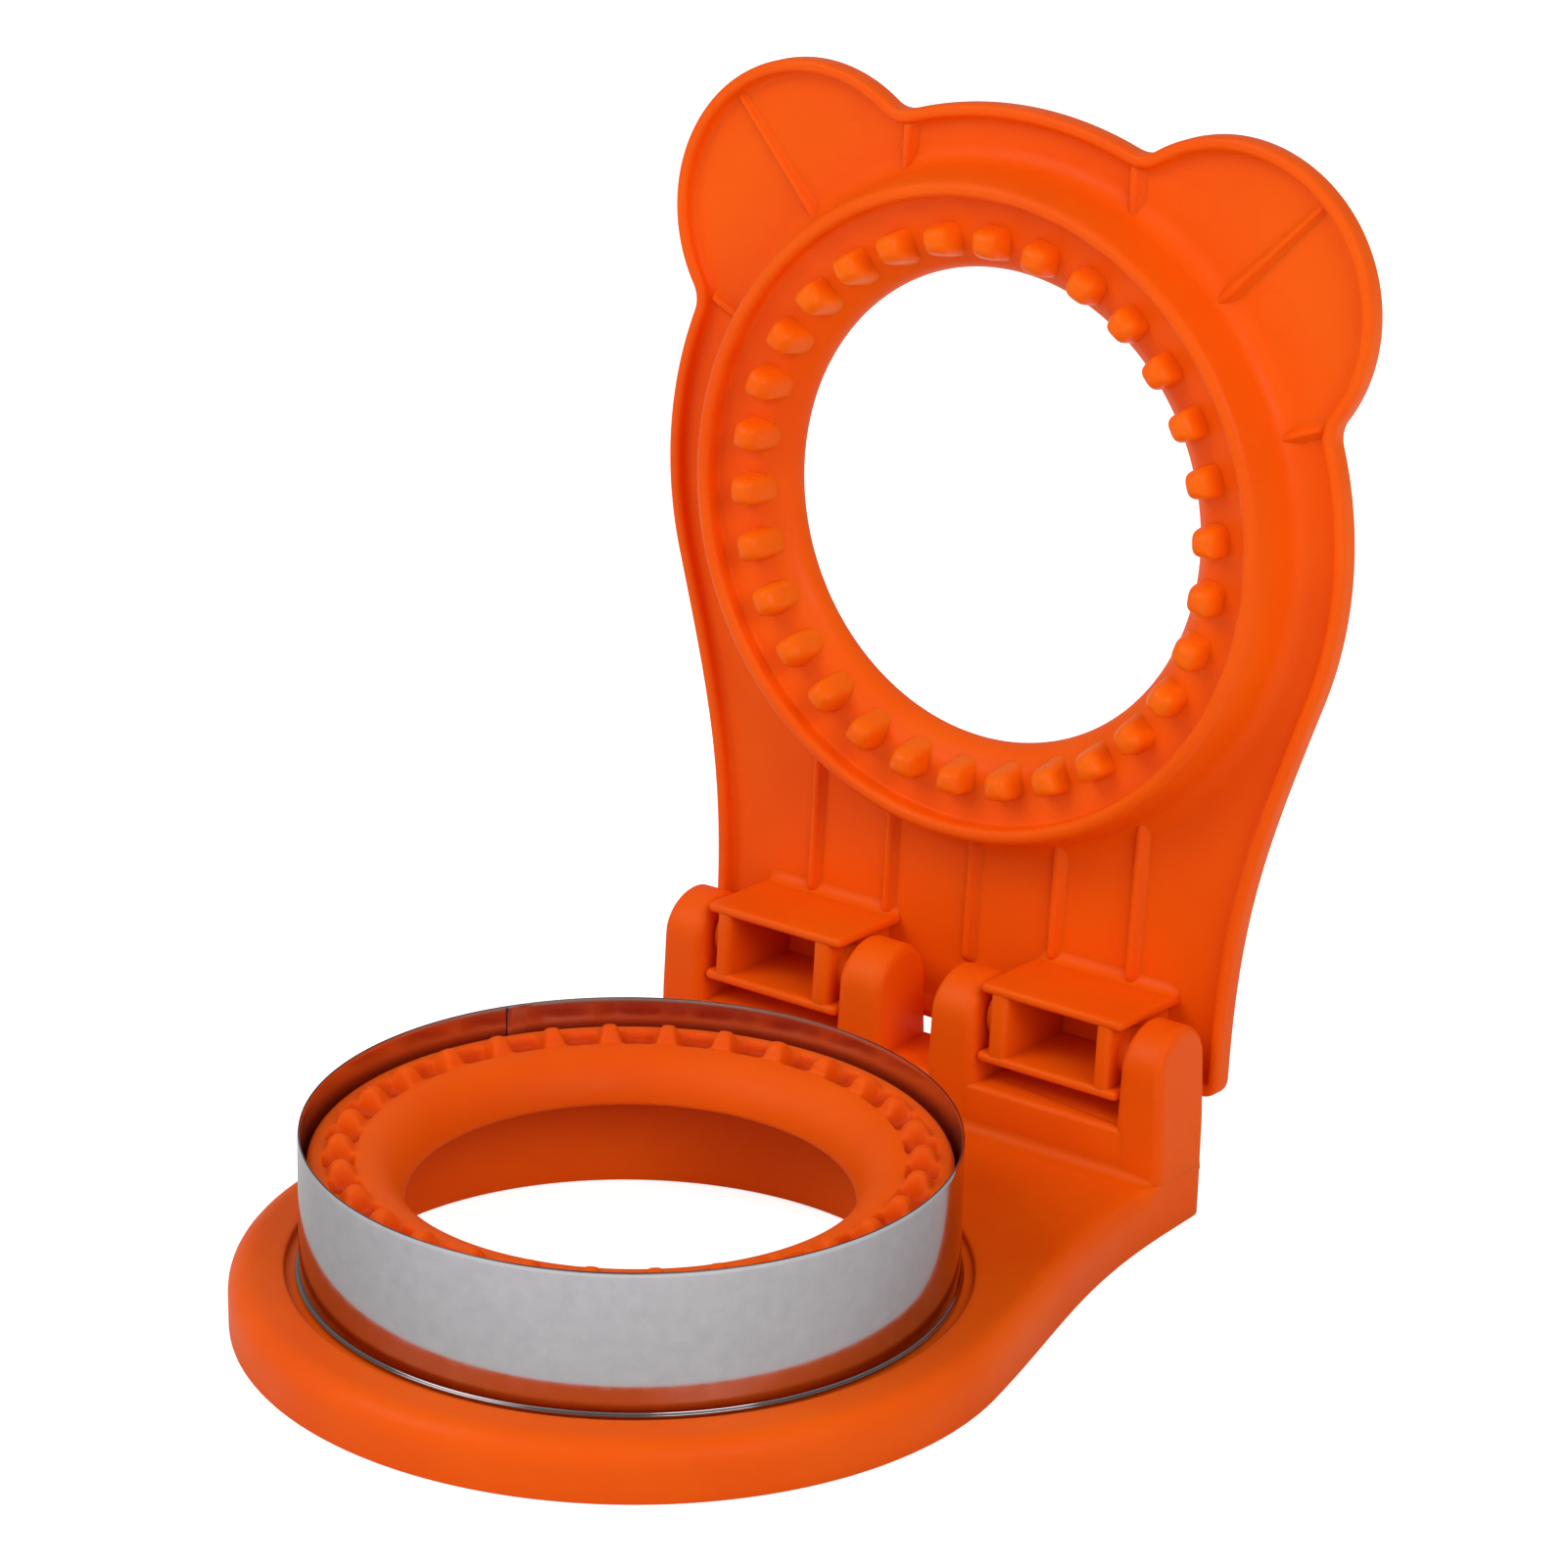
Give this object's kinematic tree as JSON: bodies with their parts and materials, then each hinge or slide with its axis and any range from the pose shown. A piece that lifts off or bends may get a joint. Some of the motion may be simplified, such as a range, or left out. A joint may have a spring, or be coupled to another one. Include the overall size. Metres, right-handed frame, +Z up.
{
  "type": "sandwich cutter and sealer",
  "caption": "Hinged sandwich cutter and sealer: a round steel cutter in a moulded base, with a crimping ring inside it and an eared pressing lid.",
  "frame": {"origin": "on the table, under the middle of the object as it stands with its lid open", "axes": "+Z up, -Y to the front where the cutter is, +X to the right along the hinge seen from the front"},
  "size_m": [0.1172, 0.1442, 0.1542],
  "materials": {
    "base_orange": "satin moulded orange plastic",
    "sealing_ring_orange": "satin moulded orange plastic",
    "lid_orange": "satin moulded orange plastic, a little glossier than the base",
    "cutter_steel": "rolled stainless steel band",
    "pin_steel": "plain steel pin"
  },
  "bodies": {
    "base": {"base_shell": "base_orange", "cutter_ring": "cutter_steel", "sealing_ring": "sealing_ring_orange", "hinge_pin_left_outer": "pin_steel", "hinge_pin_left_inner": "pin_steel", "hinge_pin_right_inner": "pin_steel", "hinge_pin_right_outer": "pin_steel"},
    "lid": {"lid_shell": "lid_orange"}
  },
  "joints": [
    {"name": "lid_hinge", "type": "hinge", "parent": "base", "child": "lid", "pos_m": [0, 0.0535, 0.0247], "axis": [1, 0, 0], "range_deg": [0, 93.2]}
  ]
}
